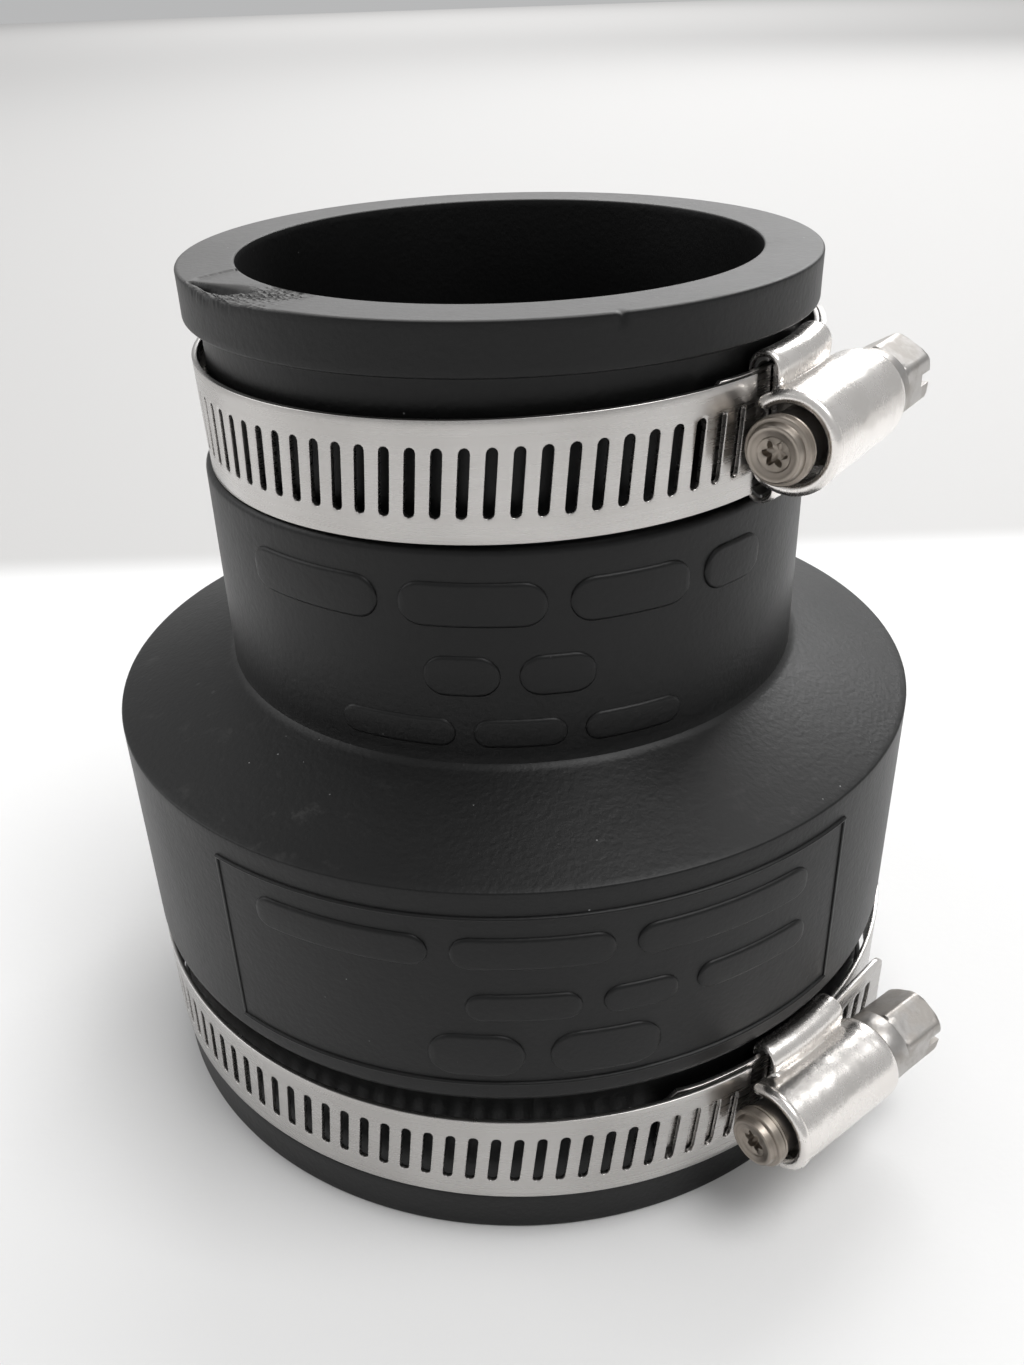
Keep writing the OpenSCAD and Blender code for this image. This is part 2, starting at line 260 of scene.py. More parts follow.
@dataclass(frozen=True)
class MouldedRubber:
    """Matte black rubber with mould grain, dust, a few pale scuffs, painted top light on faces that
    look up, and a greyer cut rim whose grey is partly its own and partly painted sheen.
    """

    rim_at: float
    base: float = 0.003
    # cut: grey of the rim's top face, partly its own grey and partly painted sheen from the light
    # above and behind.
    cut: float = 0.079
    dusty: float = 0.099
    scuffed: float = 0.12
    lint: float = 0.4
    grain_per_m: float = 1500.0
    grain_depth: float = 0.00004
    roughness: float = 0.4
    gloss: float = 0.3

    def material(self) -> bpy.types.Material:
        """Builds the material.

        Returns:
            The material.
        """
        g = Graph("moulded_rubber")
        at = g.place()
        blotch = g.noise(at, 45, 4, 0.6)
        fine = g.noise(at, 900, 3)
        dust = g.noise(at, 260, 4, 0.7).step(0.56, 0.78) * blotch.step(0.4, 0.7)
        up = g.axes(g.node("ShaderNodeNewGeometry", {}, {}).outputs["Normal"])[2]
        settled = dust * up.step(0.2, 0.95)
        lint = g.specks(at, 420, 0.05) * g.noise(at, 60, 2).step(0.55, 0.62)
        # Random blotchy tone, plus painted top light: faces that look up are painted lighter, as if
        # lit from above.
        film = blotch * 0.35 + up.step(0.5, 1.0) * 0.4
        colour = g.mix(film, grey(self.base, -0.02), grey(self.base * 1.9))
        # The rim's top face is painted greyer: partly the cut rubber's own grey, partly painted
        # sheen.
        shallow = g.axes(at)[2].step(self.rim_at - 0.0008, self.rim_at - 0.0003)
        rim_face_grey_and_sheen = up.step(0.55, 0.85) * shallow
        colour = g.mix(rim_face_grey_and_sheen, colour, grey(self.cut, 0.02))
        colour = g.mix(settled * 0.35, colour, grey(self.dusty, 0.02))
        colour = g.mix(lint * 0.6, colour, grey(self.lint))
        scratch = g.noise(g.stretched(at, (1, 1, 0.06)), 700, 2, 0.4).step(0.74, 0.8)
        colour = g.mix(scratch * blotch.step(0.5, 0.62) * 0.25, colour, grey(self.scuffed))
        rough = self.roughness + blotch * 0.12 + settled * 0.15 - fine * 0.06 + rim_face_grey_and_sheen * 0.1
        g.set(Base_Color=colour, Roughness=rough, Specular_IOR_Level=self.gloss)
        g.bump(g.noise(at, self.grain_per_m, 2) + g.noise(at, 320, 2) * 0.6, self.grain_depth)
        return g.material


@dataclass(frozen=True)
class BrushedStrip:
    """Bright rolled strip, brushed along its length; the strip map holds length and height."""

    level: float = 0.53
    grime: float = 0.16
    roughness: float = 0.17
    lines_per_m: float = 2600.0
    line_depth: float = 0.000006

    def material(self) -> bpy.types.Material:
        """Builds the material.

        Returns:
            The material.
        """
        g = Graph("brushed_strip")
        at = g.place("UV")
        along = g.stretched(at, (0.012, 1, 1))
        brushing = g.noise(along, self.lines_per_m, 3, 0.6)
        streak = g.noise(g.stretched(at, (0.03, 1, 1)), 380, 3, 0.6)
        smear = g.noise(at, 70, 4, 0.6)
        # Broad dark, warm patches along the strip are painted reflections of dark things around it.
        painted_dark_reflections = g.noise(g.stretched(at, (1, 0.25, 1)), 45, 2, 0.5).step(0.35, 0.65)
        grime = g.noise(g.place(), 240, 4, 0.65).step(0.6, 0.8) * smear.step(0.45, 0.7)
        dark, light = grey(self.level * 0.86, 0.04), grey(self.level * 1.08, 0.02)
        colour = g.mix(painted_dark_reflections * 0.3, g.mix(streak, dark, light), grey(self.level * 0.55, 0.05))
        colour = g.mix(grime * 0.35, colour, grey(self.grime, 0.08))
        rough = self.roughness + brushing * 0.14 + smear * 0.08 + grime * 0.2
        g.set(Base_Color=colour, Metallic=1.0, Roughness=rough)
        g.bump(brushing * 0.7 + streak * 0.3, self.line_depth)
        return g.material


@dataclass(frozen=True)
class PressedSteel:
    """Bright pressed stainless with soft dents, fine scratches and grime in scattered patches."""

    level: float = 0.84
    grime: float = 0.12
    roughness: float = 0.17
    dent_depth: float = 0.00004

    def material(self) -> bpy.types.Material:
        """Builds the material.

        Returns:
            The material.
        """
        g = Graph("pressed_steel")
        at = g.place()
        cloud = g.noise(at, 160, 4, 0.6)
        scratch = g.noise(g.stretched(at, (1, 1, 0.12)), 1900, 3, 0.6)
        chatter = g.noise(g.stretched(at, (0.25, 0.25, 1)), 2600, 2, 0.5)
        grime = g.noise(at, 420, 4, 0.7).step(0.6, 0.8) * cloud.step(0.45, 0.68)
        colour = g.mix(cloud, grey(self.level * 0.88, 0.05), grey(self.level * 1.06, 0.03))
        colour = g.mix(grime * 0.5, colour, grey(self.grime, 0.12))
        rough = self.roughness + cloud * 0.12 + scratch * 0.08 + grime * 0.25
        g.set(Base_Color=colour, Metallic=1.0, Roughness=rough)
        g.bump(g.noise(at, 230, 2) * 4 + scratch * 0.17 + chatter * 0.13, self.dent_depth)
        return g.material


@dataclass(frozen=True)
class PlatedSteel:
    """Plated screw steel, turned in rings and a little bronze where the plating is thin."""

    level: float = 0.47
    warm: float = 0.05
    roughness: float = 0.27
    tip_end: float = -0.009
    ring_depth: float = 0.00002

    def material(self) -> bpy.types.Material:
        """Builds the material.

        Returns:
            The material.
        """
        g = Graph("plated_steel")
        at = g.place()
        cloud = g.noise(at, 260, 4, 0.6)
        fine = g.noise(at, 1900, 3, 0.6)
        worn = cloud.step(0.42, 0.6)
        dark, light = grey(self.level * 0.8, self.warm), grey(self.level * 1.15, self.warm * 0.4)
        colour = g.mix(cloud, dark, light)
        colour = g.mix(worn * 0.5, colour, grey(self.level * 0.55, self.warm * 2.5))
        along, out, _ = g.axes(g.place("UV"))
        tip = 1 - along.step(self.tip_end - 0.0008, self.tip_end)
        rings = g.noise(g.node("ShaderNodeCombineXYZ", {}, {0: out, 1: along}).outputs[0], 2200, 2)
        bronze = g.mix(rings, grey(self.level * 0.3, 0.2), grey(self.level * 0.85, 0.14))
        colour = g.mix(tip * 0.85, colour, bronze)
        rough = self.roughness + fine * 0.14 + worn * 0.12
        g.set(Base_Color=colour, Metallic=1.0, Roughness=rough)
        g.bump(fine + cloud + rings * tip, self.ring_depth)
        return g.material


@dataclass(frozen=True)
class DullSteel:
    """Unpolished pressed steel with an oily, olive-grey film."""

    level: float = 0.34
    roughness: float = 0.42
    film_depth: float = 0.00002

    def material(self) -> bpy.types.Material:
        """Builds the material.

        Returns:
            The material.
        """
        g = Graph("dull_steel")
        at = g.place()
        film = g.noise(at, 300, 4, 0.6)
        colour = g.mix(film, grey(self.level * 0.6, 0.06), grey(self.level))
        g.set(Base_Color=colour, Metallic=1.0, Roughness=self.roughness + film * 0.15)
        g.bump(film, self.film_depth)
        return g.material


class Finish(Enum):
    """The finishes a piece can take, each with the record's material slot."""

    SLEEVE = "sleeve"
    STRIP = "band_steel"
    HOUSING = "housing_steel"
    SADDLE = "saddle_steel"
    SCREW = "screw_steel"


class Palette:
    """Makes each finish's material once."""

    def __init__(self) -> None:
        """Builds every material."""
        self.materials = {
            Finish.SLEEVE: MouldedRubber(rim_at=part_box("sleeve")[1][2]).material(),
            Finish.STRIP: BrushedStrip().material(),
            Finish.HOUSING: PressedSteel().material(),
            Finish.SADDLE: DullSteel().material(),
            Finish.SCREW: PlatedSteel().material(),
        }

    def dress(self, piece: bpy.types.Object, finish: Finish) -> None:
        """Gives a piece its material.

        Args:
            piece: the piece.
            finish: its finish.
        """
        piece.data.materials.clear()
        piece.data.materials.append(self.materials[finish])


# ---- meshes -------------------------------------------------------------------------


def link(name: str, data: bpy.types.ID) -> bpy.types.Object:
    """Makes an object of some data and links it to the scene.

    Args:
        name: the object's name.
        data: its mesh, light or camera.

    Returns:
        The object.
    """
    thing = bpy.data.objects.new(name, data)
    bpy.context.scene.collection.objects.link(thing)
    return thing


class Skin:
    """Vertices and faces of one mesh, in millimetres, gathered piece by piece."""

    def __init__(self) -> None:
        """Starts empty."""
        self.points: list[np.ndarray] = []
        self.faces: list[tuple[int, ...]] = []
        self.count = 0

    def add(self, points: np.ndarray, faces: Iterable[Sequence[int]]) -> None:
        """Adds points and faces.

        Args:
            points: the points, in an array whose last axis is 3 long.
            faces: the faces, which number those points from 0.
        """
        points = np.asarray(points, float).reshape(-1, 3)
        self.points.append(points)
        self.faces += [tuple(i + self.count for i in f) for f in faces]
        self.count += len(points)

    def grid(self, points: np.ndarray, loop_u: bool = False, loop_v: bool = False) -> None:
        """Adds a grid of quads.

        Args:
            points: an array of rows, columns and 3.
            loop_u: whether the last row joins the first.
            loop_v: whether the last column joins the first.
        """
        n, m = points.shape[:2]
        faces = []
        for i in range(n if loop_u else n - 1):
            for j in range(m if loop_v else m - 1):
                a, b = i * m + j, i * m + (j + 1) % m
                c, d = (i + 1) % n * m + (j + 1) % m, (i + 1) % n * m + j
                faces.append((a, d, c, b))
        self.add(points, faces)

    def cap(self, m: int, rows: int) -> None:
        """Closes both ends of the last grid.

        Args:
            m: points in each of its rows, which run round the mesh.
            rows: how many rows it has.
        """
        start = self.count - rows * m
        self.faces.append(tuple(range(start, start + m)))
        self.faces.append(tuple(self.count - 1 - j for j in range(m)))

    def piece(
        self, name: str, smooth_angle: float = 35.0, weld: float = 0.0005
    ) -> bpy.types.Object:
        """Makes the Blender object.

        Args:
            name: the object's name.
            smooth_angle: folds sharper than this, in degrees, stay sharp.
            weld: points closer than this, in millimetres, become one.

        Returns:
            The object, linked to the scene.
        """
        mesh = bpy.data.meshes.new(name)
        mesh.from_pydata((np.vstack(self.points) * MM).tolist(), [], self.faces)
        made = bmesh.new()
        made.from_mesh(mesh)
        bmesh.ops.remove_doubles(made, verts=made.verts, dist=weld * MM)
        bmesh.ops.recalc_face_normals(made, faces=made.faces)
        made.to_mesh(mesh)
        made.free()
        thing = link(name, mesh)
        shade(thing, smooth_angle)
        return thing


def shade(thing: bpy.types.Object, angle: float) -> None:
    """Shades a mesh smooth but for its sharp folds.

    Args:
        thing: the mesh's object.
        angle: how sharp a fold has to be to stay, in degrees.
    """
    mesh = thing.data
    mesh.shade_smooth()
    mesh.set_sharp_from_angle(angle=math.radians(angle))


def lay_map(mesh: bpy.types.Mesh, places: np.ndarray) -> None:
    """Gives a mesh a map from two numbers at each vertex.

    Args:
        mesh: the mesh.
        places: the two numbers of each vertex, in millimetres.
    """
    mapped = mesh.uv_layers.new(name="lie")
    corners = np.empty(len(mesh.loops), np.int32)
    mesh.loops.foreach_get("vertex_index", corners)
    mapped.uv.foreach_set("vector", (places[corners] * MM).astype(np.float32).ravel())


def modifier(thing: bpy.types.Object, kind: str, **settings: Any) -> None:
    """Adds one modifier.

    Args:
        thing: the object it goes on.
        kind: the modifier's type.
        settings: its properties.
    """
    made = thing.modifiers.new(kind.lower(), kind)
    for name, value in settings.items():
        setattr(made, name, value)


def thicken(thing: bpy.types.Object, thickness: float, offset: float) -> None:
    """Gives a sheet its thickness in millimetres, inward at -1 and to both sides at 0."""
    modifier(thing, "SOLIDIFY", thickness=thickness * MM, offset=offset, use_even_offset=True)


def soften(thing: bpy.types.Object, width: float, angle: float = 30) -> None:
    """Rounds the edges sharper than an angle in degrees, by a width in millimetres."""
    limit = math.radians(angle)
    modifier(
        thing, "BEVEL", width=width * MM, segments=2, limit_method="ANGLE", angle_limit=limit
    )


def arc(cx: float, cy: float, r: float, a0: float, a1: float, n: int) -> list[Place]:
    """Points of an arc in degrees, both ends included."""
    turns = np.radians(np.linspace(a0, a1, n + 1))
    return [(cx + r * math.cos(a), cy + r * math.sin(a)) for a in turns]


def ripple(a: np.ndarray, seed: int, count: int = 7) -> np.ndarray:
    """A smooth closed wave.

    Args:
        a: angles in radians.
        seed: picks the wave.
        count: how many sines it is made of.

    Returns:
        The wave at each angle, between about -1 and 1.
    """
    rng = np.random.default_rng(seed)
    phases, gains = rng.uniform(0, 2 * math.pi, count), rng.uniform(0.3, 1, count)
    waves = [g * np.sin((k + 1) * a + p) for k, (g, p) in enumerate(zip(gains, phases))]
    return np.sum(waves, 0) / gains.sum()


# ---- the sleeve ---------------------------------------------------------------------


@dataclass
class Sleeve:
    """The moulded rubber sleeve: turned body, moulded outline and bars, and a worn rim.

    Wall, lip, groove and neck sizes follow the section upward; azimuths are in degrees. Bars are
    rows of lowest and highest height, as shares of their field, and of each bar's two azimuths.
    """

    palette: Palette
    large_r: float = 44.45
    small_r: float = 30.15
    body_wall: float = 7.65
    neck_wall: float = 6.6
    lower_lip: float = 5.9
    lower_groove: float = 16.5
    lower_depth: float = 1.7
    body_len: float = 30.7
    shoulder: float = 5.1
    neck_len: float = 25.7
    upper_groove: float = 16.95
    upper_depth: float = 1.85
    upper_lip: float = 5.45
    roof: float = 7.1
    relief: float = 0.34
    clear: float = 0.02
    line: float = 0.45
    field_from: float = -130.0
    field_to: float = -45.0
    scar_at: float = -143.0
    scar_half: float = 17.0
    notch_at: float = -72.5
    body_bars: tuple[BarRow, ...] = (
        (0.42, 0.78, ((-124, -101), (-98.5, -79), (-76.5, -52))),
        (-0.2, 0.12, ((-97, -83), (-80.5, -71), (-68.5, -51.5))),
        (-0.9, -0.38, ((-102, -90), (-87, -73))),
    )
    neck_bars: tuple[BarRow, ...] = (
        (0.66, 0.86, ((-139.5, -112), (-108.5, -84), (-80.5, -59), (-56, -42))),
        (0.34, 0.53, ((-105, -92), (-89, -76))),
        (0.09, 0.23, ((-121, -100), (-97, -81), (-78, -60))),
    )
    height: float = field(init=False)

    def __post_init__(self) -> None:
        """Works out the height and checks it against the frame."""
        self.height = -self.clear + (
            self.lower_lip + self.lower_groove + self.body_len + self.shoulder
            + self.neck_len + self.upper_groove + self.upper_lip
        )
        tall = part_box("sleeve")[1][2] / MM
        if abs(tall - self.height) > 0.05:
            log.warning("sleeve is %.2f mm tall in the frame, %.2f here", tall, self.height)

    @property
    def body_r(self) -> float:
        """Outside radius of the body."""
        return self.large_r + self.body_wall

    @property
    def neck_r(self) -> float:
        """Outside radius of the neck."""
        return self.small_r + self.neck_wall

    @property
    def groove_top(self) -> float:
        """Height of the ledge above the lower groove."""
        return self.lower_lip + self.lower_groove

    @property
    def body_top(self) -> float:
        """Height of the body's upper edge."""
        return self.groove_top + self.body_len

    def outline(self) -> list[Place]:
        """Corners and roundings of the section, from the large rim around and back.

        Returns:
            Radius and height of each point.
        """
        body, neck = self.body_r, self.neck_r
        groove_top, body_top = self.groove_top, self.body_top
        neck_start = body_top + self.shoulder
        ledge = neck_start + self.neck_len
        lip = ledge + self.upper_groove
        low_r, up_r = body - self.lower_depth, neck - self.upper_depth
        low_lip = body - 0.5
        mouth = self.small_r
        floor = body_top - self.roof
        return (
            arc(self.large_r + 0.3, 0.3, 0.3, 180, 270, 3)
            + arc(low_lip - 0.35, 0.35, 0.35, -90, 0, 4)
            + arc(low_lip - 0.5, self.lower_lip - 0.5, 0.5, 0, 90, 5)
            + arc(low_r + 0.25, self.lower_lip + 0.25, 0.25, 270, 180, 3)
            + arc(low_r + 0.25, groove_top - 0.25, 0.25, 180, 90, 3)
            + arc(body - 1.4, groove_top + 1.4, 1.4, -90, 0, 7)
            + arc(body - 0.32, body_top - 0.35, 0.3, 0, 70, 4)
            + [(neck + 1.6, neck_start - 0.52), (neck + 0.5, neck_start - 0.1)]
            + [(neck + 0.08, neck_start + 0.25), (neck, neck_start + 0.9)]
            + arc(neck - 0.8, ledge - 0.8, 0.8, 0, 90, 5)
            + arc(up_r + 0.2, ledge + 0.2, 0.2, 270, 180, 3)
            + arc(up_r + 0.2, lip - 0.2, 0.2, 180, 90, 3)
            + arc(neck - 0.35, lip + 0.35, 0.35, -90, 0, 4)
            + arc(neck - 0.35, self.height - 0.35, 0.35, 0, 90, 4)
            + arc(mouth + 0.25, self.height - 0.25, 0.25, 90, 180, 3)
            + [(mouth, self.height - 3), (mouth, floor + 6)]
            + [(self.large_r - 0.3, floor + 0.1), (self.large_r, floor - 0.3)]
        )

    @staticmethod
    def filled(outline: list[Place], step: float, rim: float) -> np.ndarray:
        """Adds points along the straight runs of a closed outline.

        Args:
            outline: its points.
            step: the longest run left between two points.
            rim: the height above which the points are much closer together.

        Returns:
            The finer outline.
        """
        out = []
        for a, b in zip(outline, outline[1:] + outline[:1]):
            longest = step * 0.22 if min(a[1], b[1]) > rim else step
            n = max(1, math.ceil(math.dist(a, b) / longest))
            out += [(a[0] + (b[0] - a[0]) * k / n, a[1] + (b[1] - a[1]) * k / n) for k in range(n)]
        return np.array(out)

    def azimuths(self) -> np.ndarray:
        """Angles all the way round, closer together at the scar and the notch.

        Returns:
            The angles, in radians.
        """
        even = np.arange(-180, 180, 0.9)
        scar = np.arange(self.scar_at - self.scar_half - 3, self.scar_at + self.scar_half + 3, 0.22)
        notch = np.arange(self.notch_at - 2.5, self.notch_at + 2.5, 0.25)
        keep = [a for a in even if not scar[0] <= a <= scar[-1] and not notch[0] <= a <= notch[-1]]
        return np.radians(np.sort(np.concatenate([keep, scar, notch])))

    def wear(self, a: np.ndarray, r: np.ndarray, z: np.ndarray) -> tuple[np.ndarray, np.ndarray]:
        """How far the torn rim and the small notch move the surface.

        Args:
            a: azimuth of each point, in radians.
            r: its radius.
            z: its height.

        Returns:
            Change of radius and change of height.
        """
        top = np.clip((z - self.height + 2.2) / 2.2, 0, 1) ** 2
        across = (r - self.small_r) / self.neck_wall
        turn = (np.degrees(a) - self.scar_at) / self.scar_half
        rough = ripple(a * 17, 5) * 0.1 + ripple(a * 41 + r * 1.7, 9) * 0.09
        rough = rough + ripple(a * 23 - r * 4.1, 13) * 0.08
        line = across - 0.525 + 0.614 * turn + ripple(a * 9, 3) * 0.03
        wide = 0.045 + 0.12 * np.exp(-(((turn + 0.12) / 0.24) ** 2))
        slit = np.exp(-((line / wide) ** 2)) * np.clip(1 - ((turn + 0.2) / 0.44) ** 4, 0, 1)
        crack = turn + 1.03 - 0.37 * across + ripple(r * 2, 8) * 0.01
        crack = np.where(crack > 0, np.exp(-((crack / 0.12) ** 2)), np.exp(-((crack / 0.02) ** 2)))
        crack = crack * np.clip((0.85 - across) * 6, 0, 1)
        below = np.clip(line * 7 - 0.3, 0, 1) * np.clip(1.15 - np.abs(turn - 0.2) * 1.2, 0, 1)
        frayed = np.clip(1 - ((turn - 0.45) / 0.55) ** 2, 0, 1) * np.clip(1 - line**2 * 4, 0, 1)
        inside = (across > 0.02) & (across < 1.1) & (z > self.height - 6)
        sunk = slit * 1.6 + crack * 0.2
        sunk = sunk + below * (0.25 + 1.4 * rough) + frayed * (0.15 + 1.8 * rough)
        dz = np.where(inside, -top * np.maximum(sunk, 0), 0)
        edge = np.clip((across - 0.8) * 5, 0, 1)
        torn = np.exp(-(((turn + 0.1) / 0.5) ** 2)) * edge * top**2 * inside
        dr = -torn * (0.35 + 2.0 * rough)
        dent = np.exp(-(((np.degrees(a) - self.notch_at) / 0.8) ** 2)) * edge * top * inside
        return dr - dent * 0.35, dz - dent * 0.25

    def build_body(self) -> bpy.types.Object:
        """Turns the section about the axis, a little uneven as moulded rubber is.

        Returns:
            The sleeve.
        """
        section = self.filled(self.outline(), 0.75, self.height - 1.5)
        turns = self.azimuths()
        a = turns[:, None] + np.zeros(len(section))
        r = section[None, :, 0] + np.zeros_like(a)
        z = section[None, :, 1] + np.zeros_like(a)
        outer = r > self.small_r + 0.5
        uneven = ripple(turns, 11)[:, None] * 0.05
        uneven = uneven + ripple(turns * 3, 4)[:, None] * np.sin(z / 9) * 0.04
        free = np.clip(np.minimum(z, self.height - z) / 3, 0, 1)
        dr, dz = self.wear(a, r, z)
        r = r - np.where(outer, (0.06 + uneven) * free * 0.6, 0) + dr
        z = z + dz
        skin = Skin()
        skin.grid(np.stack([r * np.cos(a), r * np.sin(a), z], -1), loop_u=True, loop_v=True)
        return skin.piece("sleeve_body", 28)

    def raised(
        self, skin: Skin, r: float, azimuths: Place, heights: Place, round_by: float
    ) -> None:
        """Adds one raised bar with soft edges and rounded ends to a mesh.

        Args:
            skin: the mesh.
            r: radius of the wall it stands on.
            azimuths: its two ends, in degrees.
            heights: its lower and upper edge.
            round_by: radius of its ends.
        """
        (a0, a1), (z0, z1) = azimuths, heights
        length = math.radians(a1 - a0) * r
        ends = np.linspace(0, 1, 7) ** 1.6 * min(round_by, length / 2)
        middle = np.linspace(ends[-1], length - ends[-1], max(2, int(length / 1.2) + 1))
        along = np.concatenate([ends[:-1], middle, length - ends[-2::-1]])
        half = (z1 - z0) / 2
        near = np.minimum(along, length - along)
        short = np.clip(1 - near / max(round_by, 1e-6), 0, 1)
        width = half - min(round_by, half) * (1 - np.sqrt(np.clip(1 - short**2, 0, 1)))
        edge = min(0.28, half * 0.6)
        shape = [(-1, 0, -0.3), (-1, 0, 0.0), (-1, 0.35, 0.55), (-1, 1, 0.95), (-1, 1.8, 1.0)]
        shape += [(1, 1.8, 1.0), (1, 1, 0.95), (1, 0.35, 0.55), (1, 0, 0.0), (1, 0, -0.3)]
        rows = []
        for s, w in zip(along, width):
            a = math.radians(a0) + s / r
            low = min(1.0, min(s, length - s) / (edge * 1.5)) ** 0.5
            row = []
            for side, inset, rise in shape:
                z = (z0 + z1) / 2 + side * max(w - inset * edge, 0.0)
                out = r + (rise * self.relief * (0.15 + 0.85 * low) if rise > 0 else rise)
                row.append((out * math.cos(a), out * math.sin(a), z))
            rows.append(row)
        skin.grid(np.array(rows), loop_v=True)
        skin.cap(len(shape), len(rows))

    def build_marking(self) -> bpy.types.Object:
        """Builds the moulded outline on the body and the plain bars in word-like rows.

        Returns:
            The marking.
        """
        middle, half = (self.groove_top + self.body_top) / 2, self.body_len * 0.39
        body, neck = self.body_r - 0.05, self.neck_r - 0.05
        left, right, line = self.field_from, self.field_to, self.line / 2
        skin = Skin()
        for z in (middle - half, middle + half):
            self.raised(skin, body, (left - 0.2, right + 0.2), (z - line, z + line), 0.2)
        for a in (left, right):
            da = math.degrees(line / body)
            self.raised(skin, body, (a - da, a + da), (middle - half, middle + half), 0.05)
        start = self.body_top + self.shoulder
        for r, base, size, rows in (
            (body, middle, half, self.body_bars), (neck, start, self.neck_len, self.neck_bars)
        ):
            for low, high, bars in rows:
                z0, z1 = base + low * size, base + high * size
                for bar in bars:
                    self.raised(skin, r, bar, (z0, z1), (z1 - z0) / 2)
        return skin.piece("moulded_marking", 50, 0.00001)

    def build(self) -> list[bpy.types.Object]:
        """Builds and dresses the sleeve.

        Returns:
            Its pieces.
        """
        pieces = [self.build_body(), self.build_marking()]
        for piece in pieces:
            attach(piece, "sleeve")
            self.palette.dress(piece, Finish.SLEEVE)
        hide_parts("sleeve")
        return pieces


# ---- the clamps ---------------------------------------------------------------------


class Sheet:
    """A flat strip of steel: faces over points of length along it and height across it."""

    def __init__(self) -> None:
        """Starts empty."""
        self.places: list[Place] = []
        self.faces: list[tuple[int, ...]] = []

    @staticmethod
    def rows(width: float, top: float) -> np.ndarray:
        """Heights across plain strip that meet a slotted stretch point for point.

        Args:
            width: the strip's width.
            top: half the width of the part that holds the slots.

        Returns:
            The heights.
        """
        half = width / 2
        edge = np.linspace(top, half, 3)
        return np.concatenate([-edge[::-1], np.linspace(-top, top, 9)[1:-1], edge])

    def plain(self, lengths: Iterable[float], heights: Iterable[float]) -> None:
        """Adds a plain stretch of strip.

        Args:
            lengths: where its rows of points stand along the strip.
            heights: where they stand across it.
        """
        rows = [[(s, z) for z in heights] for s in lengths]
        start, m = len(self.places), len(rows[0])
        for row in rows:
            self.places += row
        for i in range(len(rows) - 1):
            for j in range(m - 1):
                a = start + i * m + j
                self.faces.append((a, a + m, a + m + 1, a + 1))

    def ring(self, rings: Sequence[Sequence[Place]]) -> None:
        """Adds closed rings of faces between loops of points.

        Args:
            rings: the loops, from the outermost in.
        """
        start, m = len(self.places), len(rings[0])
        for loop in rings:
            self.places += loop
        for i in range(len(rings) - 1):
            for j in range(m):
                a, b = start + i * m + j, start + i * m + (j + 1) % m
                self.faces.append((a, b, b + m, a + m))

    def trim(self, allowed: Callable[[float], Place], half: float) -> None:
        """Draws the edges in.

        Args:
            allowed: gives the lowest and highest height at a length.
            half: half the full width.
        """
        trimmed = []
        for s, v in self.places:
            low, high = allowed(s)
            trimmed.append((s, v * (high / half if v > 0 else -low / half)))
        self.places = trimmed


class Side(Enum):
    """Which clamp; the value starts its bodies', nodes' and joints' names."""

    UPPER = "upper"
    LOWER = "lower"


@dataclass(frozen=True)
class TailShape:
    """How the strip's free end runs: an arc, then a straight run that leans outward.

    The tip is pairs of distance from the end and half width there; plain is its unslotted length.
    """

    arc_turn: float
    straight: float
    flare: float
    plain: float
    tip: tuple[Place, ...]

    def half(self, back: float) -> float:
        """Half the width at a distance back from the tip."""
        return float(np.interp(back, *zip(*self.tip)))


